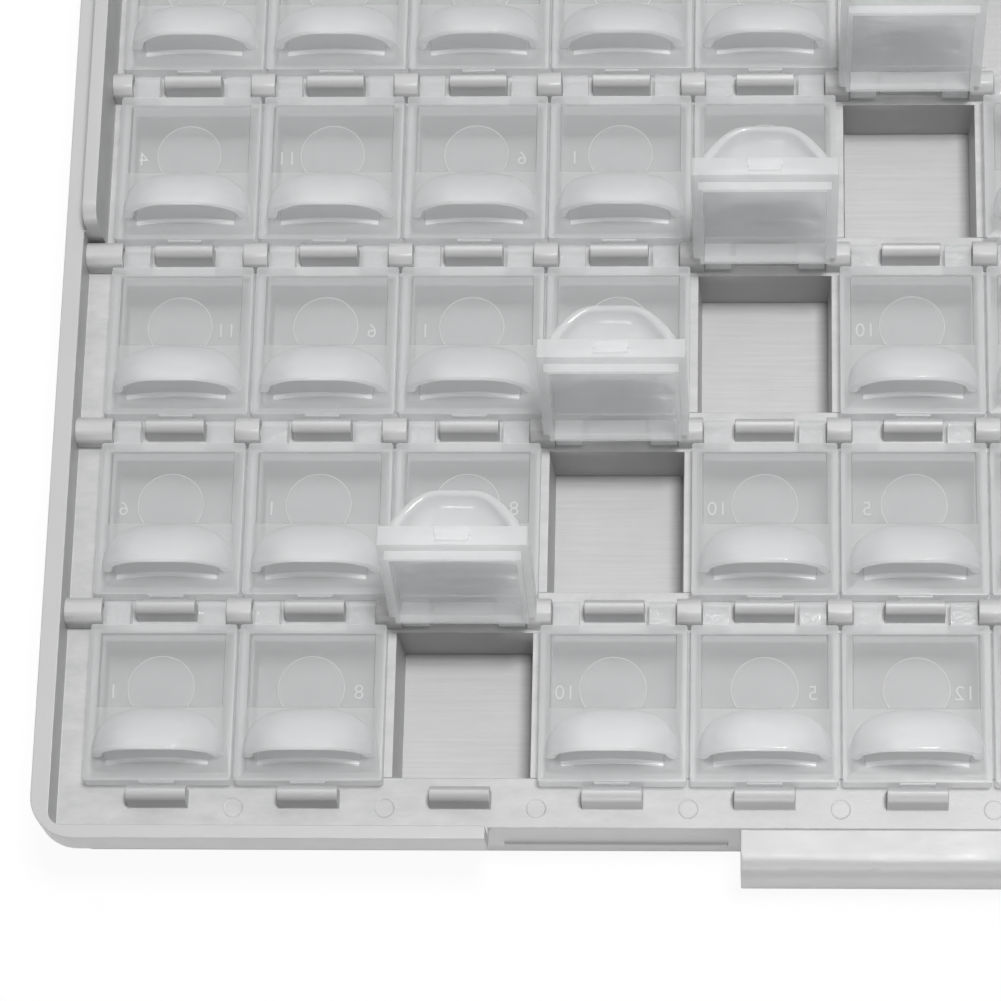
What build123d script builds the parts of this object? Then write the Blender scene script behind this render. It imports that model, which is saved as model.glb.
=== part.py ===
"""Bead organizer: a moulded tray of lidded pockets with a hinged cover, in millimetres.

The frame stands at the middle of the tray's underside. +Z is up, +Y points from the
front edge to the cover hinge, and +X runs along the rows. Rows are counted from the front,
columns from the left.
"""
import os

from build123d import *

# pocket grid
columns = 12
rows = 6
column_pitch = 17.5
row_pitch = 22.5
pocket_width = 16.0
pocket_length = 17.5
pocket_behind_axis = 2.05  # from a lid's hinge axis forward to its pocket's back wall
wall_draft = 0.35  # a divider is this much thicker on each side at its foot

# heights above the table
floor_thickness = 2.2
deck_height = 10.8
rim_height = 15.8
tongue_rise = 4.0

# tray margins and walls
side_margin = 5.4  # from the outer lids' edges to the outer face
front_margin = 7.5  # from the front lids' edge to the outer face
back_margin = 9.4  # from the last hinge axis to the outer face
rim_overhang = 2.6
rim_chamfer = 1.2  # under the rim's outer edge
rim_thickness = 2.2
front_rim_thickness = 1.6
corner_radius = 5.0
inner_radius = 1.5
tongue_thickness = 1.7
tongue_offset = 0.3
tongue_end_gap = 3.0  # from the rear rim to the tongue's end
tongue_rounding = 2.4

# front recess, grip and snap beads
recess_width = 116.0
grip_width = 58.0
grip_reach = 4.8
grip_foot = 1.5
grip_drop = 0.3
grip_flat = 2.9  # flat part of the grip's top
grip_brow = 7.0  # height of the rounding at its front
flange_play = 0.25
flange_below_bead = 1.9
bead_radius = 0.45
bead_length = 26.0
bead_height = 4.2

# lid
lid_gap = 0.4
lid_back = 1.8  # from the hinge axis to the plate's rear edge
lid_front = 20.6
lid_top = 2.4  # above the deck
lid_seat = 0.05
plate_thickness = 0.9
plug_clearance = 0.25
plug_depth = 1.0
plug_wall = 0.8
tab_width = 3.8
tab_reach = 0.45
tab_foot = 0.5
tab_thickness = 0.9
open_angle = 98.0

# hood of a lid
hood_width = 14.9
hood_top_width = 8.6
hood_back = 12.4
hood_corner = 16.2  # from here back the hood's plan narrows
hood_lip = 18.1
hood_lip_lean = 0.4  # the lip's top stands this far in front of its foot
hood_rise = 6.2
hood_wall = 0.9

# lid hinge and catch
axis_rise = 1.6
knuckle_radius = 1.6
knuckle_length = 2.9
arm_width = 3.1
arm_clearance = 0.15
arm_foot = 0.4  # the arm's end behind the axis, at its foot and at its top
arm_end = 1.1
pivot_radius = 0.75
pivot_length = 0.9
pivot_clearance = 0.15
catch_width = 7.0
catch_rise = 2.7
catch_depth = 2.1
catch_overlap = 0.1
catch_clearance = 0.1
catch_rounding = 0.5

# cover and its hinge
cover_wall = 2.6
cover_gap = 0.2
hinge_radius = 2.1
hinge_stand = 2.3  # from the back face to the axis
hinge_leaf = 5.0
pin_radius = 0.8
pin_clearance = 0.06
hinge_spread = 70.0
barrel_length = 12.0
barrel_play = 0.2
end_barrel_length = 6.0

# places worked out from the sizes
lid_width = column_pitch - lid_gap
half_width = (columns * column_pitch - lid_gap) / 2 + side_margin
grid_depth = (rows - 1) * row_pitch
depth = back_margin + grid_depth + lid_front + front_margin
back_face = depth / 2
front_face = -back_face
recess_face = front_face + rim_overhang
last_axis = back_face - back_margin
pocket_front = pocket_behind_axis + pocket_length
rail_back = row_pitch - pocket_front  # from a hinge axis back to the next pocket
wall_x = half_width - rim_overhang
wall_y = back_face - rim_overhang
cavity_x = (columns - 1) * column_pitch / 2 + pocket_width / 2
cavity_front = last_axis - grid_depth - pocket_front
cavity_back = last_axis + rail_back
axis_height = deck_height + axis_rise
hinge_height = rim_height + cover_gap / 2
hinge_y = back_face + hinge_stand


def axis_y(row):
    """Place of a row's lid hinge axis, rows counted from the front."""
    return last_axis - (rows - 1 - row) * row_pitch


def column_x(column):
    """Middle of a column, columns counted from the left."""
    return (column - (columns - 1) / 2) * column_pitch


def rectangle_between(half_x, y_low, y_high):
    """Rectangle centred on X between two places along Y, in the open sketch."""
    with Locations((0, y_low)):
        return Rectangle(2 * half_x, y_high - y_low, align=(Align.CENTER, Align.MIN))


os.makedirs("parts", exist_ok=True)


def save(piece, name):
    """Label a finished piece and write it as its own file."""
    piece.label = name
    export_step(piece, f"parts/{name}.step")


# lid, closed, in its own frame: hinge axis on X, front towards -Y, deck at -axis_rise
arm_outer = column_pitch / 2 - knuckle_length / 2 - arm_clearance
plug_half = pocket_width / 2 - plug_clearance
plug_back = pocket_behind_axis + plug_clearance
plug_front = pocket_front - 2 * plug_clearance
tab_tip = lid_front + tab_reach


def hood_form(wall):
    """The hood's outer form, or its hollow through the lip when a wall thickness is given."""
    rise = hood_rise - 1.2 * wall
    half, top = hood_width / 2 - wall, hood_top_width / 2 - 0.4 * wall
    back, front = hood_back + 1.3 * wall, hood_lip + hood_lip_lean
    middle, corner = (back + hood_lip) / 2, hood_corner + wall
    side = [(-back, 0), (-middle, 0.6 * rise), (-front, rise), (-hood_lip, 0)]
    if wall:
        front += wall
        side[3:] = [(-front, rise), (-front, 0)]
    with BuildPart() as form:
        with BuildSketch(Plane.XZ.offset(back)):
            with BuildLine():
                shoulder = 0.96 * half
                Polyline((-half, 0), (-shoulder, 0.4 * rise), (-top, rise), (top, rise),
                         (shoulder, 0.4 * rise), (half, 0), close=True)
            make_face()
        extrude(amount=front - back)
        with BuildSketch(Plane.YZ):
            with BuildLine():
                Polyline(*side, close=True)
            make_face()
        extrude(amount=half, both=True, mode=Mode.INTERSECT)
        with BuildSketch():
            with BuildLine():
                Polyline((-half, -front), (-half, -corner), (-0.5 * half, -back),
                         (0.5 * half, -back), (half, -corner), (half, -front), close=True)
            make_face()
        extrude(amount=rise, mode=Mode.INTERSECT)
    return form.part


hood_outside = hood_form(0)
hood_hollow = hood_form(hood_wall)


def make_lid(left_pivot=True, right_pivot=True):
    """One lid with its plug, hood, tab and hinge arms."""
    with BuildPart() as lid:
        with BuildSketch(Plane.XY.offset(lid_seat - axis_rise)):
            rectangle_between(lid_width / 2, -lid_front, -lid_back)
        extrude(amount=lid_top - lid_seat)
        for side in (-1, 1):
            with BuildSketch(Plane.YZ.offset(side * (arm_outer - arm_width / 2))):
                with BuildLine():
                    Polyline((-lid_back, lid_seat - axis_rise), (arm_foot, lid_seat - axis_rise),
                             (arm_end, lid_top - axis_rise), (-lid_back, lid_top - axis_rise),
                             close=True)
                make_face()
            extrude(amount=arm_width / 2, both=True)
        with BuildSketch(Plane.XY.offset(tab_foot - axis_rise)):
            rectangle_between(tab_width / 2, -tab_tip, -lid_front)
        extrude(amount=tab_thickness)
        with BuildSketch(Plane.XY.offset(-plug_depth - axis_rise)):
            rectangle_between(plug_half, -plug_front, -plug_back)
        extrude(amount=plug_depth + plate_thickness)
        with BuildSketch(Plane.XY.offset(-plug_depth - axis_rise)):
            rectangle_between(plug_half - plug_wall, plug_wall - plug_front, -plug_wall - plug_back)
        extrude(amount=plug_depth + lid_top - plate_thickness, mode=Mode.SUBTRACT)
        with Locations((0, 0, lid_top - axis_rise)):
            add(hood_outside)
            add(hood_hollow, mode=Mode.SUBTRACT)
        for side, wanted in ((-1, left_pivot), (1, right_pivot)):
            if wanted:
                with BuildSketch(Plane.YZ.offset(side * arm_outer)):
                    RegularPolygon(pivot_radius, 6)
                extrude(amount=side * pivot_length)
    return lid.part


# hinge knuckles of the tray, on the same frame as the lid
tongue_face = half_width - rim_thickness - tongue_offset - tongue_thickness
end_knuckle_start = column_x(columns - 1) + arm_outer + arm_clearance


def make_knuckle(length, bored):
    """Knuckle with a rounded top and its foot on the deck, bored where a pivot enters it."""
    with BuildPart() as knuckle:
        with BuildSketch(Plane.YZ):
            with BuildLine():
                radius = knuckle_radius
                Polyline((-radius, -axis_rise), (-radius, 0.3 * radius), (-0.5 * radius, radius),
                         (0.5 * radius, radius), (radius, 0.3 * radius), (radius, -axis_rise),
                         close=True)
            make_face()
            if bored:
                Circle(pivot_radius + pivot_clearance, mode=Mode.SUBTRACT)
        extrude(amount=length / 2, both=True)
    return knuckle.part


# catch bar for a lid's tab: a post with a nose over the tab, on the deck
catch_back = tab_tip + catch_clearance
with BuildPart() as catch:
    with BuildSketch(Plane.YZ):
        with BuildLine():
            Polyline((-catch_back, 0), (-catch_back, tab_foot + tab_thickness + catch_clearance),
                     (-tab_tip + catch_overlap, tab_foot + tab_thickness + 2 * catch_clearance),
                     (-catch_back - catch_rounding, catch_rise),
                     (-catch_back - catch_depth + catch_rounding, catch_rise),
                     (-catch_back - catch_depth, 0), close=True)
        make_face()
    extrude(amount=catch_width / 2, both=True)

# one divider between two pockets, thicker at its foot
divider_top = column_pitch - pocket_width
with BuildPart() as divider:
    with BuildSketch(Plane.XZ.offset(-pocket_length / 2)):
        with BuildLine():
            Polyline((-divider_top / 2 - wall_draft, floor_thickness),
                     (divider_top / 2 + wall_draft, floor_thickness),
                     (divider_top / 2, deck_height), (-divider_top / 2, deck_height), close=True)
        make_face()
    extrude(amount=pocket_length)

pocket_middle = (pocket_front + pocket_behind_axis) / 2
with BuildPart() as dividers:
    for row in range(rows):
        with Locations(*[((column_x(c) + column_x(c + 1)) / 2, axis_y(row) - pocket_middle, 0)
                         for c in range(columns - 1)]):
            add(divider.part)
save(dividers.part, "dividers")

# single lids in the left columns of the five front rows, gangs of lids for the rest
single_columns = 7
open_lids = {0: 2, 1: 3, 2: 4, 3: 5, 4: 6}  # row to the column whose lid stands open
gangs = [(row, single_columns, columns - 1) for row in range(rows - 1)]
gangs += [(rows - 1, 0, columns // 2 - 1), (rows - 1, columns // 2, columns - 1)]


def inside_gang(row, column):
    """True where the knuckle right of a column stands between two lids of one gang."""
    return any(row == gang_row and first <= column < last for gang_row, first, last in gangs)


# cross rails: the wall between two rows, with the hinge knuckles and the catches on it
for row in range(rows):
    axis = axis_y(row)
    with BuildPart() as rail:
        with BuildSketch(Plane.XY.offset(floor_thickness)):
            rectangle_between(cavity_x, axis - pocket_behind_axis, axis + rail_back)
        extrude(amount=deck_height - floor_thickness)
        for column in range(columns - 1):
            with Locations(((column_x(column) + column_x(column + 1)) / 2, axis, axis_height)):
                add(make_knuckle(knuckle_length, not inside_gang(row, column)))
        # the end knuckles reach the rim, or the tongue where it runs
        for side, wall in ((-1, tongue_face if axis > 0 else half_width - rim_thickness),
                           (1, half_width - rim_thickness)):
            with Locations((side * (end_knuckle_start + wall) / 2, axis, axis_height)):
                add(make_knuckle(wall - end_knuckle_start, True))
        if row < rows - 1:
            with Locations(*[(column_x(c), axis + row_pitch, deck_height) for c in range(columns)]):
                add(catch.part)
    save(rail.part, f"hinge_rail_{row + 1}")

# the tray's moulded shell and the cover share one outer form
tray_base = Plane.XY
cover_base = Plane(origin=(0, 2 * hinge_y, 0), x_dir=(-1, 0, 0), z_dir=(0, 0, 1))
station = barrel_length / 2 + barrel_play + end_barrel_length / 2  # end barrels from the middle one


def moulded_half(base, hollow_x, hollow_front, hollow_back):
    """Body with its overhanging rim, open at the top and closed below, standing on a base plane."""
    with BuildPart() as half:
        with BuildSketch(base):
            RectangleRounded(2 * wall_x, 2 * wall_y, corner_radius - rim_overhang)
        extrude(amount=deck_height)
        with BuildSketch(base.offset(deck_height - rim_chamfer)):
            RectangleRounded(2 * (half_width - rim_chamfer), depth - 2 * rim_chamfer,
                             corner_radius - rim_chamfer)
        extrude(amount=rim_chamfer, taper=-45)
        with BuildSketch(base.offset(deck_height)):
            RectangleRounded(2 * half_width, depth, corner_radius)
            with Locations((0, (front_rim_thickness - rim_thickness) / 2)):
                RectangleRounded(2 * (half_width - rim_thickness),
                                 depth - front_rim_thickness - rim_thickness, inner_radius,
                                 mode=Mode.SUBTRACT)
        extrude(amount=rim_height - deck_height)
        with BuildSketch(base.offset(floor_thickness)):
            rectangle_between(hollow_x, hollow_front, hollow_back)
        extrude(amount=deck_height - floor_thickness, mode=Mode.SUBTRACT)
    return half.part


def hinge_barrel(length, middle, leaf_side):
    """Barrel of the cover hinge with its leaf to the back face of one half."""
    with BuildPart() as barrel:
        with BuildSketch(Plane.YZ.offset(middle)):
            with Locations((hinge_y, hinge_height)):
                Circle(hinge_radius)
                Rectangle(hinge_stand, hinge_leaf, align=(
                    Align.MAX if leaf_side < 0 else Align.MIN, Align.MAX))
                Circle(pin_radius + pin_clearance, mode=Mode.SUBTRACT)
        extrude(amount=length / 2, both=True)
    return barrel.part


bead_x = (grip_width + recess_width) / 4
grip_top = deck_height - grip_drop
with BuildPart() as tray_shell:
    add(moulded_half(tray_base, cavity_x, cavity_front, cavity_back))
    # recess in the front rim
    with BuildSketch(Plane.XY.offset(deck_height - rim_chamfer)):
        rectangle_between(recess_width / 2, front_face, recess_face)
    extrude(amount=rim_chamfer + rim_height - deck_height, mode=Mode.SUBTRACT)
    # grip with a rounded brow
    with BuildSketch(Plane.YZ.offset(-grip_width / 2)):
        with BuildLine():
            tip = recess_face - grip_reach
            Polyline((tip, grip_top - grip_brow), (tip, grip_foot), (recess_face, grip_foot),
                     (recess_face, grip_top), (recess_face - grip_flat, grip_top))
            Spline((recess_face - grip_flat, grip_top), (tip, grip_top - grip_brow),
                   tangents=((-1, 0), (0, -1)))
        make_face()
    extrude(amount=grip_width)
    # snap beads beside the grip
    for side in (-1, 1):
        with BuildSketch(Plane.YZ.offset(side * bead_x - bead_length / 2)):
            with Locations((recess_face, bead_height)):
                RegularPolygon(bead_radius, 8)
        extrude(amount=bead_length)
    # raised tongue inside the left wall, along the back half
    tongue_back = back_face - rim_thickness - tongue_end_gap
    with BuildSketch(Plane.XY.offset(deck_height)):
        with Locations((-half_width + rim_thickness, 0)):
            Rectangle(tongue_offset + tongue_thickness, tongue_back, align=(Align.MIN, Align.MIN))
    extrude(amount=rim_height - deck_height)
    with BuildSketch(Plane.XY.offset(rim_height)):
        with Locations((-half_width + rim_thickness + tongue_offset, 0)):
            Rectangle(tongue_thickness, tongue_back, align=(Align.MIN, Align.MIN))
    extrude(amount=tongue_rise)
    tongue_end = tray_shell.edges().filter_by(Axis.X).group_by(Axis.Z)[-1].sort_by(Axis.Y)[0]
    fillet(tongue_end, tongue_rounding)
    # catches of the front row
    with Locations(*[(column_x(c), axis_y(0), deck_height) for c in range(columns)]):
        add(catch.part)
    # outer barrels of the cover hinge
    for place in (-hinge_spread, hinge_spread):
        for side in (-1, 1):
            add(hinge_barrel(end_barrel_length, place + side * station, -1))
save(tray_shell.part, "tray_shell")

# cover, lying open behind the tray, so its heights count down from the closed ones
closed_sum = 2 * hinge_height
groove_height = closed_sum - bead_height
flange_inner = rim_overhang - flange_play
with BuildPart() as cover:
    add(moulded_half(cover_base, wall_x - cover_wall, -wall_y + cover_wall, wall_y - cover_wall))
    # centre flange that fills the tray's recess, cut out over the grip
    with BuildSketch(cover_base.offset(deck_height - rim_chamfer)):
        rectangle_between(recess_width / 2 - flange_play, front_face, front_face + flange_inner)
    extrude(amount=groove_height + flange_below_bead - deck_height + rim_chamfer)
    with BuildSketch(cover_base.offset(closed_sum - grip_top - flange_play)):
        rectangle_between(grip_width / 2 + flange_play, front_face, front_face + flange_inner)
    extrude(amount=deck_height, mode=Mode.SUBTRACT)
    for side in (-1, 1):
        with BuildSketch(Plane.YZ.offset(side * bead_x - bead_length / 2 - flange_play)):
            with Locations((2 * hinge_y - recess_face, groove_height)):
                RegularPolygon(bead_radius + flange_play, 8)
        extrude(amount=bead_length + 2 * flange_play, mode=Mode.SUBTRACT)
    for place in (-hinge_spread, hinge_spread):
        add(hinge_barrel(barrel_length, place, 1))
save(cover.part, "cover")

pin_length = barrel_length + 2 * barrel_play + 2 * end_barrel_length
with BuildPart() as cover_pins:
    for place in (-hinge_spread, hinge_spread):
        with BuildSketch(Plane.YZ.offset(place)):
            with Locations((hinge_y, hinge_height)):
                Circle(pin_radius)
        extrude(amount=pin_length / 2, both=True)
save(cover_pins.part, "cover_pins")

lid = make_lid()
for row in range(rows - 1):
    for column in range(single_columns):
        tilt = -open_angle if open_lids[row] == column else 0
        place = Location((column_x(column), axis_y(row), axis_height), (tilt, 0, 0))
        save(lid.moved(place), f"lid_r{row + 1}_c{column + 1}")

# lids that turn together, with a pivot at each end of the gang
for row, first, last in gangs:
    with BuildPart() as gang:
        for column in range(first, last + 1):
            with Locations((column_x(column), axis_y(row), axis_height)):
                add(make_lid(column == first, column == last))
    save(gang.part, f"lid_gang_r{row + 1}_c{first + 1}_c{last + 1}")
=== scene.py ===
"""Looks of the bead organizer: grey moulded tray and cover, milky lids with a domed finger hood."""

import math

import bmesh
import bpy
from mathutils import Matrix, Vector


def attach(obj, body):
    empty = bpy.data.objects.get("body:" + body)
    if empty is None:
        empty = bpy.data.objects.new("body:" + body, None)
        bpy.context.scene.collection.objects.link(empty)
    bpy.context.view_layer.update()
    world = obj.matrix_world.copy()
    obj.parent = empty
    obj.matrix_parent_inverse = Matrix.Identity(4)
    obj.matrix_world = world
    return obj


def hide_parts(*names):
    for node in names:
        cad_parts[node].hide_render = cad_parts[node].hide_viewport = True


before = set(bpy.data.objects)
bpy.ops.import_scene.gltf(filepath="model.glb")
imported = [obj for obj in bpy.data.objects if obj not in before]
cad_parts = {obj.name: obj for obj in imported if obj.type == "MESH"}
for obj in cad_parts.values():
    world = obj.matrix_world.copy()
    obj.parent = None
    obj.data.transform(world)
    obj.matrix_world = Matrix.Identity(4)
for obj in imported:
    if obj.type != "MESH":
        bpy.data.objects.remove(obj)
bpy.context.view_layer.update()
scene = bpy.context.scene

MM = 0.001

# sizes shared with the solids, in millimetres
columns = 12
rows = 6
column_pitch = 17.5
row_pitch = 22.5
last_axis = 65.6
deck = 10.8
floor_top = 2.2
axis_rise = 1.6
open_angle = 98.0
single_columns = 7
open_lids = {0: 2, 1: 3, 2: 4, 3: 5, 4: 6}  # row to the column whose lid stands open


def axis_y(row):
    """Place of a row's lid hinge axis, rows counted from the front."""
    return last_axis - (rows - 1 - row) * row_pitch


def column_x(column):
    """Middle of a column, columns counted from the left."""
    return (column - (columns - 1) / 2) * column_pitch


# shader maths

class Socket:
    """A value in a material's node tree, so that shader maths reads as Python."""

    def __init__(self, shader, link):
        self.shader = shader
        self.link = link

    def _math(self, operation, first, second):
        return self.shader.node("ShaderNodeMath", {"operation": operation}, {0: first, 1: second})

    def __add__(self, other):
        return self._math("ADD", self, other)

    def __radd__(self, other):
        return self._math("ADD", other, self)

    def __sub__(self, other):
        return self._math("SUBTRACT", self, other)

    def __rsub__(self, other):
        return self._math("SUBTRACT", other, self)

    def __mul__(self, other):
        return self._math("MULTIPLY", self, other)

    def __rmul__(self, other):
        return self._math("MULTIPLY", other, self)

    def __lt__(self, other):
        return self._math("LESS_THAN", self, other)

    def __gt__(self, other):
        return self._math("GREATER_THAN", self, other)


class Finish:
    """A procedural material with its one shader."""

    def __init__(self, name):
        self.material = bpy.data.materials.new(name)
        self.material.use_nodes = True
        self.tree = self.material.node_tree
        self.tree.nodes.clear()
        self.place = self.node("ShaderNodeTexCoord", {}, {}, "Object")

    def node(self, kind, settings, inputs, output=0):
        """Add a node: its settings first, then the values or links of its sockets."""
        made = self.tree.nodes.new(kind)
        for key, value in settings.items():
            setattr(made, key, value)
        for key, value in inputs.items():
            if isinstance(value, Socket):
                self.tree.links.new(value.link, made.inputs[key])
            else:
                made.inputs[key].default_value = value
        return Socket(self, made.outputs[output])

    def stretched(self, scale):
        """Object coordinates scaled along each axis."""
        return self.node("ShaderNodeMapping", {}, {"Vector": self.place, "Scale": scale})

    def noise(self, vector, scale, detail=2.0, roughness=0.5):
        return self.node("ShaderNodeTexNoise", {}, {
            "Vector": vector, "Scale": scale, "Detail": detail, "Roughness": roughness})

    def blend(self, factor, first, second):
        """Mix two colours."""
        return self.node("ShaderNodeMix", {"data_type": "RGBA"}, {0: factor, 6: first, 7: second}, 2)

    def bump(self, height, distance, strength=1.0):
        return self.node("ShaderNodeBump", {}, {
            "Height": height, "Distance": distance, "Strength": strength})

    def show(self, shader):
        output = self.tree.nodes.new("ShaderNodeOutputMaterial")
        self.tree.links.new(shader.link, output.inputs["Surface"])
        return self.material


def grey(level):
    return (level, level, level, 1.0)


def tray_plastic():
    """Satin grey polypropylene: a fine grain, soft flow marks on the deck, painted shade that keeps the deck
    darker than the rim, and brushed pocket floors.
    """
    finish = Finish("tray_grey_plastic")
    height = finish.node("ShaderNodeSeparateXYZ", {}, {0: finish.place}, 2)
    on_floor = height < 2.6 * MM
    cloud = finish.noise(finish.place, 90.0, 3.0)
    flow = finish.noise(finish.stretched((1.0, 2.2, 1.0)), 260.0, 4.0, 0.65)
    streaks = finish.noise(finish.stretched((60.0, 2400.0, 60.0)), 1.0, 3.0, 0.6)
    grain = finish.noise(finish.place, 4200.0, 1.0)
    deck_flow_and_painted_shade = (height > (deck - 0.1) * MM) * (height < (deck + 0.1) * MM)
    # painted shade: the -0.25 term darkens the whole deck, which lies below the rim
    shade = (0.6 + 0.3 * (cloud - 0.5) + on_floor * (streaks - 0.5) * 0.8
             + deck_flow_and_painted_shade * (1.6 * (flow - 0.5) - 0.25))
    colour = finish.blend(shade, (0.395, 0.395, 0.400, 1.0), (0.530, 0.530, 0.534, 1.0))
    rough = 0.40 + 0.24 * (flow - 0.5) + 0.12 * on_floor
    relief = grain * 0.25 + flow * 0.5 * (1 - on_floor) + streaks * on_floor * 0.8
    normal = finish.bump(relief, 0.06 * MM, 0.6)
    return finish.show(finish.node("ShaderNodeBsdfPrincipled", {}, {
        "Base Color": colour, "Roughness": rough, "Normal": normal,
        "Specular IOR Level": 0.45, "IOR": 1.49}))


glow_share = 0.55  # of the light that the milky lids hold back, the share that glows through
milk_variation = 0.14


def lid_plastic(name, milk, rough, shade=0.95, crinkle=0.02, crinkle_scale=600.0, shine=0.5):
    """Milky clear polypropylene that light from behind glows through.

    Milk is the share of light that one skin of it holds back. The crinkle is in millimetres.
    """
    finish = Finish(name)
    cloud = finish.noise(finish.place, 140.0, 2.0)
    ripple = finish.noise(finish.place, crinkle_scale, 3.0, 0.6)
    colour = (shade, shade * 1.006, shade * 1.01, 1.0)  # a trace of blue
    normal = finish.bump(ripple, crinkle * MM, 0.6)
    near = finish.node("ShaderNodeBsdfPrincipled", {}, {
        "Base Color": colour, "Roughness": rough + 0.12 * (ripple - 0.5), "Normal": normal,
        "Specular IOR Level": shine, "IOR": 1.49})
    through = finish.node("ShaderNodeBsdfTranslucent", {}, {"Color": colour})
    clear = finish.node("ShaderNodeBsdfTransparent", {}, {"Color": grey(1.0)})
    glowing = finish.node("ShaderNodeMixShader", {}, {0: glow_share, 1: near, 2: through})
    held = milk + milk_variation * milk * (cloud - 0.5)
    return finish.show(finish.node("ShaderNodeMixShader", {}, {0: held, 1: clear, 2: glowing}))


grey_plastic = tray_plastic()
lid_materials = (
    lid_plastic("lid_window_plastic", 0.30, 0.24),
    lid_plastic("lid_wall_plastic", 0.46, 0.26),
    lid_plastic("lid_hood_plastic", 0.62, 0.07, crinkle=0.05, crinkle_scale=400.0, shine=0.9),
    lid_plastic("lid_arm_plastic", 0.46, 0.10, 0.97, crinkle=0.35, crinkle_scale=1100.0, shine=1.0),
    # painted light: the edge plastic is milkier and whiter than the wall, so the rounded outline, the plate's
    # front face, the scoop floor and the bead show bright
    lid_plastic("lid_edge_painted_light", 0.60, 0.20, 0.98, shine=1.0),
    # painted light: the mark plastic is milkier and whiter than the window, so the disc's raised ring and the
    # cavity numbers show as light lines
    lid_plastic("lid_mark_painted_light", 0.44, 0.20, 0.98),
    lid_plastic("lid_disc_plastic", 0.10, 0.30))
WINDOW, WALL, HOOD, ARM, EDGE, MARK, DISC = range(7)


# mesh helpers, in millimetres

def block(bm, low, high, material=0):
    """A box between two corners."""
    made = bmesh.ops.create_cube(bm, size=1.0)["verts"]
    bmesh.ops.scale(bm, vec=Vector(high) - Vector(low), verts=made)
    bmesh.ops.translate(bm, vec=(Vector(low) + Vector(high)) / 2, verts=made)
    for face in {f for v in made for f in v.link_faces}:
        face.material_index = material
    return made


def edges_where(verts, test):
    """Edges among verts whose two ends pass a test."""
    return [e for e in {e for v in verts for e in v.link_edges} if all(test(v.co) for v in e.verts)]


def runs_across(edge):
    """Whether an edge is long and runs from side to side."""
    return abs(edge.verts[0].co.x - edge.verts[1].co.x) > 1


def rounded(bm, edges, radius, segments, material=-1):
    return bmesh.ops.bevel(bm, geom=edges, offset=radius, offset_type="OFFSET", segments=segments,
                           profile=0.5, affect="EDGES", clamp_overlap=True, material=material)


def lay(face, half, rear, front, z):
    """Move a four-cornered face to a half width, two distances from the axis and a height."""
    middle = face.calc_center_median().y
    for v in face.verts:
        v.co = (math.copysign(half, v.co.x), -front if v.co.y < middle else -rear, z)


def sunk(bm, face, depth, step):
    """Inset a face by a step and push it in along its own normal."""
    bmesh.ops.inset_region(bm, faces=[face], thickness=step, depth=-depth, use_even_offset=True)


def finished(bm, name, materials, body, smooth_angle=35.0):
    """Turn a bmesh in millimetres into a piece that rides on a body."""
    bmesh.ops.scale(bm, vec=(MM, MM, MM), verts=bm.verts)
    limit = math.radians(smooth_angle)
    for face in bm.faces:
        face.smooth = True
    for edge in bm.edges:
        edge.smooth = edge.is_manifold and edge.calc_face_angle(math.pi) < limit
    mesh = bpy.data.meshes.new(name)
    bm.to_mesh(mesh)
    bm.free()
    for material in materials:
        mesh.materials.append(material)
    piece = bpy.data.objects.new(name, mesh)
    scene.collection.objects.link(piece)
    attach(piece, body)
    return piece


# one lid, closed, in its own frame: hinge axis on X, front towards -Y, deck at -axis_rise
lid_half = 8.55
lid_rear = 1.8
lid_front = 20.6
lid_low = 0.05 - axis_rise
lid_high = 2.4 - axis_rise
window_half = 7.35
window_rear = 2.9
window_front = 11.9
window_depth = 0.28
step_width = 0.15
scoop_half = 6.1
scoop_rear = 14.4
scoop_front = 18.25
scoop_depth = 0.3
bead_width = 0.6
bead_rise = 0.24
bead_bow = 0.35
plug_half = 7.72
plug_rear = 2.3
plug_front = 19.05
plug_low = -1.0 - axis_rise
plug_wall = 0.5
window_skin = 0.9
draft_inset = 0.02
corner_rounding = 0.3
rim_rounding = 0.2
hood_half = 7.7
hood_rear = 11.95
hood_lip = 17.6
hood_rise = 6.15
hood_lean = 0.55
hood_lip_bulge = 0.35
hood_roll = 1.3
hood_drop = 0.3
hood_side_wall = 1.3
hood_rear_wall = 0.95
hood_roof_wall = 0.8
hood_seat = 0.04
hood_narrowing = 0.42
hood_straight = 0.25  # share of the rise below which the sides stand upright
hood_arch_power = 0.4  # of the rounded arch, seen from the front
hood_plan_power = 0.77  # of the plan, seen from above
hood_fall_power = 1.35  # of the fall from the lip to the rear, seen from the side
arm_outer = 7.15
arm_inner = 4.05
arm_nose = 1.25
arm_drop = 0.03
arm_rounding = 0.8
joined = 0.02  # by this much a piece of the lid is sunk into the next
tab_steps = ((1.9, 0.43, 0.5, 1.4), (2.05, 0.27, 1.1, 2.2))  # half width, reach, and heights over the deck
ring_middle = 9.5
ring_radius = 3.9
ring_width = 0.1
ring_rise = 0.06
disc_sink = 0.03
number_size = 2.5
number_side = 5.55
number_middle = 10.0


def is_outer_wall(face):
    """Whether an upright face of the plate lies on its outline."""
    middle = face.calc_center_median()
    outside = (abs(middle.x) > lid_half - 0.4
               or abs(middle.y + (lid_front + lid_rear) / 2) > (lid_front - lid_rear) / 2 - 0.2)
    return abs(face.normal.z) < 0.5 and outside


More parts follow.
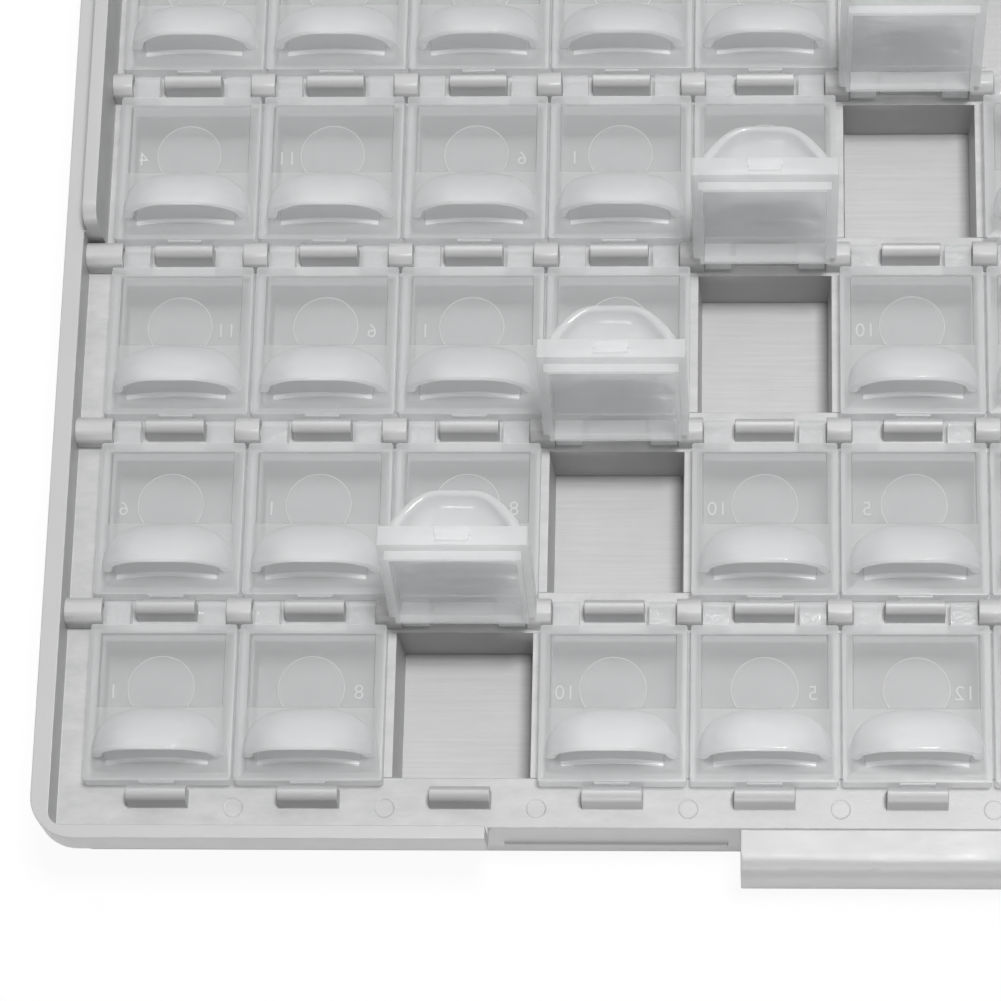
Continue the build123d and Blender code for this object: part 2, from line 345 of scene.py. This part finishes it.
def lid_plate(bm):
    """Plate with a sunk window, a scoop below the hood, a plug ring below and soft outer edges."""
    verts = block(bm, (-lid_half, -lid_front, lid_low), (lid_half, -lid_rear, lid_high), WALL)
    faces = {f for v in verts for f in v.link_faces}
    under = min(faces, key=lambda f: f.calc_center_median().z)
    top = max(faces, key=lambda f: f.calc_center_median().z)
    upright = [e for f in faces for e in f.edges if abs(e.verts[0].co.z - e.verts[1].co.z) > 1]
    # window
    bmesh.ops.inset_region(bm, faces=[top], thickness=1.0, depth=0.0, use_even_offset=True)
    lay(top, window_half, window_rear, window_front, lid_high)
    front_strip = min({f for v in top.verts for f in v.link_faces if f.normal.z > 0.9 or f == top},
                      key=lambda f: f.calc_center_median().y)
    sunk(bm, top, window_depth, step_width)
    top.material_index = WINDOW
    # scoop below the hood
    bmesh.ops.inset_region(bm, faces=[front_strip], thickness=1.0, depth=0.0, use_even_offset=True)
    lay(front_strip, scoop_half, scoop_rear, scoop_front, lid_high)
    sunk(bm, front_strip, scoop_depth, step_width)
    # painted light: the scoop floor takes the whiter edge plastic
    front_strip.material_index = EDGE
    # plug ring and the hollow inside it
    bmesh.ops.inset_region(bm, faces=[under], thickness=0.5, depth=0.0, use_even_offset=True)
    lay(under, plug_half, plug_rear, plug_front, lid_low)
    bmesh.ops.inset_region(bm, faces=[under], thickness=0.03, depth=lid_low - plug_low)
    bmesh.ops.inset_region(bm, faces=[under], thickness=plug_wall, depth=0.0, use_even_offset=True)
    bmesh.ops.inset_region(bm, faces=[under], thickness=draft_inset,
                           depth=plug_low - lid_high + window_skin)
    under.material_index = WINDOW
    # outer edges
    rounded(bm, list(set(upright)), corner_rounding, 3)
    # painted light: the front face, which the key hardly reaches, takes the whiter edge plastic
    for face in bm.faces:
        if face.normal.y < -0.9 and face.calc_center_median().y < -lid_front + 0.1:
            face.material_index = EDGE
    # painted highlight: the rounding of the top outline takes the whiter edge plastic and shows as bright
    # lines
    outline = [e for e in bm.edges if e.is_manifold and all(abs(v.co.z - lid_high) < 1e-4 for v in e.verts)
               and any(is_outer_wall(f) for f in e.link_faces)]
    rounded(bm, outline, rim_rounding, 2, EDGE)


def hood_skin(across, along, half, depth, rise):
    """A point of the dome: across runs over its arch, along from its lip to its foot at the rear."""
    turn = (across + 1) / 2 * math.pi
    arch_x = -math.copysign(abs(math.cos(turn)) ** hood_arch_power, math.cos(turn))
    arch_z = max(0, math.sin(turn)) ** hood_arch_power
    bend = along * math.pi / 2
    back = math.sin(bend) ** hood_plan_power
    plan = max(0, math.cos(bend)) ** hood_plan_power
    fall = max(0, 1 - back ** hood_fall_power) ** 0.74
    narrow = 1 - hood_narrowing * max(0, arch_z - hood_straight) / (1 - hood_straight)
    roll = max(0, 1 - back * depth / hood_roll) ** 2 * hood_drop / rise
    up = arch_z * (fall - roll)
    return Vector((half * plan * arch_x * narrow, depth * back - hood_lean * up ** 2.2, rise * up))


def lid_hood(bm):
    """Domed finger hood, hollow and open at the front, with a round lip."""
    skin_steps, lip_steps = 12, 6
    steps = 2 * skin_steps + lip_steps
    sheet = bmesh.ops.create_grid(bm, x_segments=40, y_segments=steps, size=1.0)["verts"]
    outer_size = (hood_half, hood_lip - hood_rear, hood_rise)
    inner_size = (hood_half - hood_side_wall, hood_lip - hood_rear - hood_rear_wall,
                  hood_rise - hood_roof_wall)
    for v in sheet:
        across = v.co.x
        step = round((v.co.y + 1) / 2 * steps)
        if step <= skin_steps:
            v.co = hood_skin(across, 1 - step / skin_steps, *outer_size)
        elif step >= skin_steps + lip_steps:
            v.co = hood_skin(across, 1 - (steps - step) / skin_steps, *inner_size)
        else:
            outer, inner = hood_skin(across, 0, *outer_size), hood_skin(across, 0, *inner_size)
            turn = (step - skin_steps) / lip_steps * math.pi
            v.co = (outer + inner) / 2 + (outer - inner) / 2 * math.cos(turn)
            v.co.y -= hood_lip_bulge * math.sin(turn)
    bmesh.ops.remove_doubles(bm, verts=sheet, dist=1e-3)
    bmesh.ops.holes_fill(bm, edges=[e for e in bm.edges if e.is_boundary], sides=0)
    bmesh.ops.recalc_face_normals(bm, faces=bm.faces)
    for face in bm.faces:
        face.material_index = HOOD
    bmesh.ops.translate(bm, vec=(0, -hood_lip, lid_high - hood_seat), verts=bm.verts)


def lid_arms(bm):
    """Two hinge arms flush with the plate, with rounded ends."""
    for side in (-1, 1):
        low, high = sorted((side * arm_outer, side * arm_inner))
        verts = block(bm, (low, -lid_rear - joined, lid_low), (high, arm_nose, lid_high - arm_drop), ARM)
        rounded(bm, [e for e in edges_where(verts, lambda co: co.y > 0) if runs_across(e)],
                arm_rounding, 4)


def lid_tab(bm):
    """Front tab in two steps, low enough in front to pass below the catch."""
    for half, reach, low, high in tab_steps:
        verts = block(bm, (-half, -lid_front - reach, low - axis_rise),
                      (half, -lid_front + joined, high - axis_rise), WALL)
        rounded(bm, edges_where(verts, lambda co: co.y < -lid_front), 0.1, 2)


def lid_bead(bm):
    """Bowed bead in front of the scoop, with a round top."""
    half = scoop_half - 0.2
    # painted highlight: the bead takes the whiter edge plastic
    verts = block(bm, (-half, -scoop_front - bead_width, lid_high - joined),
                  (half, -scoop_front, lid_high + bead_rise), EDGE)
    rounded(bm, [e for e in edges_where(verts, lambda co: co.z > lid_high) if runs_across(e)], 0.2, 4)
    along = [e for e in bm.edges if runs_across(e)]
    bmesh.ops.subdivide_edges(bm, edges=along, cuts=11, use_grid_fill=True)
    for v in bm.verts:
        v.co.y += bead_bow * (1 - (v.co.x / scoop_half) ** 2)
        if v.co.z > lid_high:
            v.co.z -= 0.2 * (v.co.x / scoop_half) ** 4


def lid_disc(bm):
    """Disc in the window with a fine raised rim, cut off by the step at its front."""
    level = lid_high - window_depth
    disc = bmesh.ops.create_circle(bm, cap_ends=True, segments=56, radius=ring_radius)["verts"]
    under = disc[0].link_faces[0]
    if under.normal.z < 0:
        under.normal_flip()
    base = bmesh.ops.extrude_face_region(bm, geom=[under])["geom"]
    face = [g for g in base if isinstance(g, bmesh.types.BMFace)][0]
    bmesh.ops.translate(bm, vec=(0, 0, ring_rise), verts=face.verts)
    bmesh.ops.inset_region(bm, faces=[face], thickness=ring_width, depth=0.0)
    # painted light: the ring's top and sides take the whiter mark plastic
    for f in bm.faces:
        f.material_index = MARK
    bmesh.ops.inset_region(bm, faces=[face], thickness=draft_inset, depth=-disc_sink)
    under.material_index = face.material_index = DISC
    bmesh.ops.translate(bm, vec=(0, -ring_middle, level - 0.01), verts=bm.verts)
    bmesh.ops.bisect_plane(bm, geom=bm.verts[:] + bm.edges[:] + bm.faces[:], clear_outer=True,
                           plane_co=(0, -window_front + 0.16, 0), plane_no=(0, -1, 0))
    bmesh.ops.holes_fill(bm, edges=[e for e in bm.edges if e.is_boundary], sides=0)
    bmesh.ops.recalc_face_normals(bm, faces=bm.faces)


def cavity_number(bm, number, side):
    """Small mirrored mould number beside the disc."""
    words = bpy.data.curves.new("cavity_number", "FONT")
    words.body = str(number)
    words.size = number_size
    words.extrude = 0.035
    words.offset = -0.02
    words.resolution_u = 3
    words.align_x, words.align_y = "CENTER", "CENTER"
    written = bpy.data.objects.new("cavity_number", words)
    mesh = bpy.data.meshes.new_from_object(written)
    bm.from_mesh(mesh)
    bmesh.ops.remove_doubles(bm, verts=bm.verts, dist=1e-3)
    bmesh.ops.scale(bm, vec=(-1, 1, 1), verts=bm.verts)
    bmesh.ops.recalc_face_normals(bm, faces=bm.faces)
    # painted light: the numbers take the whiter mark plastic
    for f in bm.faces:
        f.material_index = MARK
    bmesh.ops.translate(bm, vec=(side * number_side, -number_middle, lid_high - window_depth), verts=bm.verts)
    bpy.data.meshes.remove(mesh)
    bpy.data.objects.remove(written)
    bpy.data.curves.remove(words)


def shaped(*makers):
    """One mesh from makers that each start with an empty bmesh."""
    whole = bmesh.new()
    for make in makers:
        bm = bmesh.new()
        make(bm)
        part = bpy.data.meshes.new("part")
        bm.to_mesh(part)
        bm.free()
        whole.from_mesh(part)
        bpy.data.meshes.remove(part)
    mesh = bpy.data.meshes.new("shaped")
    whole.to_mesh(mesh)
    whole.free()
    return mesh


lid_form = shaped(lid_plate, lid_hood, lid_arms, lid_tab, lid_bead, lid_disc)
number_forms = {(number, side): shaped(lambda bm: cavity_number(bm, number, side))
                for number in range(1, 13) for side in (-1, 1)}


def place_lids(name, row, first, last):
    """One or more lids that turn together, in place of their solids."""
    bm = bmesh.new()
    for column in range(first, last + 1):
        tilt = open_angle if open_lids.get(row) == column else 0
        number = (5 * row + 7 * column) % 12 + 1
        side = -1 if (3 * row + 5 * column) % 7 < 4 else 1
        seated = (Matrix.Translation((column_x(column), axis_y(row), deck + axis_rise))
                  @ Matrix.Rotation(math.radians(-tilt), 4, "X"))
        before = len(bm.verts)
        bm.from_mesh(lid_form)
        bm.from_mesh(number_forms[number, side])
        bm.verts.ensure_lookup_table()
        bmesh.ops.transform(bm, matrix=seated, verts=bm.verts[before:])
    piece = finished(bm, f"{name}_moulding", lid_materials, name)
    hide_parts(name)


for row in range(rows - 1):
    for column in range(single_columns):
        place_lids(f"lid_r{row + 1}_c{column + 1}", row, column, column)
    place_lids(f"lid_gang_r{row + 1}_c{single_columns + 1}_c{columns}", row, single_columns, columns - 1)
place_lids(f"lid_gang_r{rows}_c1_c6", rows - 1, 0, 5)
place_lids(f"lid_gang_r{rows}_c7_c12", rows - 1, 6, 11)


# the grey mouldings: the solids with their edges eased
catch_length = 6.0  # a long top edge over this length is a catch's, any other a knuckle's
catch_rounding = 0.9
knuckle_rounding = 0.42
tops_low, tops_high = deck + 1.9, deck + 3.5  # heights between which catches and knuckles end
mark_radius = 1.2
mark_place = -70.1
mark_rise = 0.05


def is_long_top_edge(edge):
    """Whether an edge runs along the top of a catch or a knuckle."""
    first, second = (v.co for v in edge.verts)
    level = abs(first.y - second.y) < 1e-3 and abs(first.z - second.z) < 1e-3
    return (edge.is_manifold and level and tops_low < first.z < tops_high
            and math.radians(20) < edge.calc_face_angle(0) < math.radians(88))


def eased(node, width):
    """Copy of a solid with its edges eased, and its catches and knuckles rounded further."""
    bm = bmesh.new()
    bm.from_mesh(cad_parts[node].data)
    bmesh.ops.scale(bm, vec=(1 / MM,) * 3, verts=bm.verts)
    bmesh.ops.remove_doubles(bm, verts=bm.verts, dist=0.004)
    bmesh.ops.dissolve_limit(bm, angle_limit=math.radians(0.6), verts=bm.verts, edges=bm.edges)
    bm.normal_update()
    long = [e for e in bm.edges if is_long_top_edge(e)]
    catches = [e for e in long if e.calc_length() > catch_length]
    fronts = [e for e in catches if any(f.normal.y < -0.9 for f in e.link_faces)]
    for edges, radius in (fronts, catch_rounding), (set(long) - set(catches), knuckle_rounding):
        rounded(bm, [e for e in edges if e.is_valid], radius, 5)
    sharp = [e for e in bm.edges if e.is_manifold and e.calc_face_angle(0) > math.radians(50)]
    bmesh.ops.bevel(bm, geom=sharp, offset=width, offset_type="OFFSET", segments=2, profile=0.5,
                    affect="EDGES", clamp_overlap=False, material=-1)
    piece = finished(bm, f"{node}_moulding", (grey_plastic,), "cover" if node == "cover" else "tray",
                     40.0)
    weighted = piece.modifiers.new("even_normals", "WEIGHTED_NORMAL")
    weighted.keep_sharp = True
    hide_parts(node)


def ejector_marks():
    """Flat round marks along the front of the deck, between the catches."""
    bm = bmesh.new()
    for column in range(columns - 1):
        disc = bmesh.ops.create_cone(bm, cap_ends=True, segments=32, radius1=mark_radius,
                                     radius2=mark_radius - 0.08, depth=2 * mark_rise)["verts"]
        bmesh.ops.translate(bm, vec=(column_x(column) + column_pitch / 2, mark_place, deck), verts=disc)
    tops = [f for f in bm.faces if f.normal.z > 0.9]
    bmesh.ops.inset_individual(bm, faces=tops, thickness=0.14, depth=-0.035)
    finished(bm, "ejector_marks", (grey_plastic,), "tray", 5.0)


eased("tray_shell", 0.15)
eased("cover", 0.15)
for row in range(rows):
    eased(f"hinge_rail_{row + 1}", 0.12)
for node in ("dividers", "cover_pins"):
    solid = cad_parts[node]
    solid.data.materials.clear()
    solid.data.materials.append(grey_plastic)
ejector_marks()

# floor: white to the eye and in reflections, and it keeps the object's shadow
bm = bmesh.new()
bmesh.ops.create_grid(bm, x_segments=1, y_segments=1, size=3.0)
mesh = bpy.data.meshes.new("floor")
bm.to_mesh(mesh)
bm.free()
floor = bpy.data.objects.new("floor", mesh)
scene.collection.objects.link(floor)
white = Finish("floor_white")
path = white.tree.nodes.new("ShaderNodeLightPath")
seen = Socket(white, path.outputs["Is Camera Ray"]) + Socket(white, path.outputs["Is Glossy Ray"])
glow = white.node("ShaderNodeEmission", {}, {"Color": grey(1.0), "Strength": 1.0})
matte = white.node("ShaderNodeBsdfDiffuse", {}, {"Color": grey(0.86)})
share = white.node("ShaderNodeMath", {"operation": "MINIMUM"}, {0: seen, 1: 1.0}) * 0.94
mesh.materials.append(white.show(white.node("ShaderNodeMixShader", {}, {0: share, 1: matte, 2: glow})))

# light: a key straight above, a low fill in front, a broad soft box behind and a faint even room
world = bpy.data.worlds.new("room")
scene.world = world
world.use_nodes = True
world.node_tree.nodes["Background"].inputs["Color"].default_value = grey(1.0)
world.node_tree.nodes["Background"].inputs["Strength"].default_value = 0.11


def lamp(name, place, size, power):
    """A square area light that faces the case, in metres and watts."""
    light = bpy.data.lights.new(name, "AREA")
    light.shape = "SQUARE"
    light.size = size
    light.energy = power
    lit = bpy.data.objects.new(name, light)
    lit.location = place
    lit.rotation_euler = (-Vector(place)).to_track_quat("-Z", "Y").to_euler()
    scene.collection.objects.link(lit)


lamp("key", place=(0.13, 0.03, 1.2), size=0.24, power=12.5)
lamp("front_fill", place=(-0.2, -1.5, 0.2), size=0.3, power=6.0)
lamp("soft_box", place=(-0.05, 0.42, 0.95), size=0.8, power=2.4)

# camera: above the front left corner, looking down and a little back
camera_place = (-0.02625, -0.18469, 0.44651)
camera_swing, camera_tilt, camera_roll = (math.radians(a) for a in (6.466, 19.131, -6.074))
camera_data = bpy.data.cameras.new("view")
camera_data.sensor_width = 36.0
camera_data.lens = 140.69
camera_data.shift_x = -0.1197
camera_data.shift_y = 0.0156
camera_data.clip_start, camera_data.clip_end = 0.01, 10.0
camera = bpy.data.objects.new("view", camera_data)
camera.matrix_world = (Matrix.Translation(camera_place) @ Matrix.Rotation(camera_swing, 4, "Z")
                       @ Matrix.Rotation(camera_tilt, 4, "X") @ Matrix.Rotation(camera_roll, 4, "Z"))
scene.collection.objects.link(camera)
scene.camera = camera
scene.view_settings.view_transform = "Standard"

bpy.context.view_layer.update()
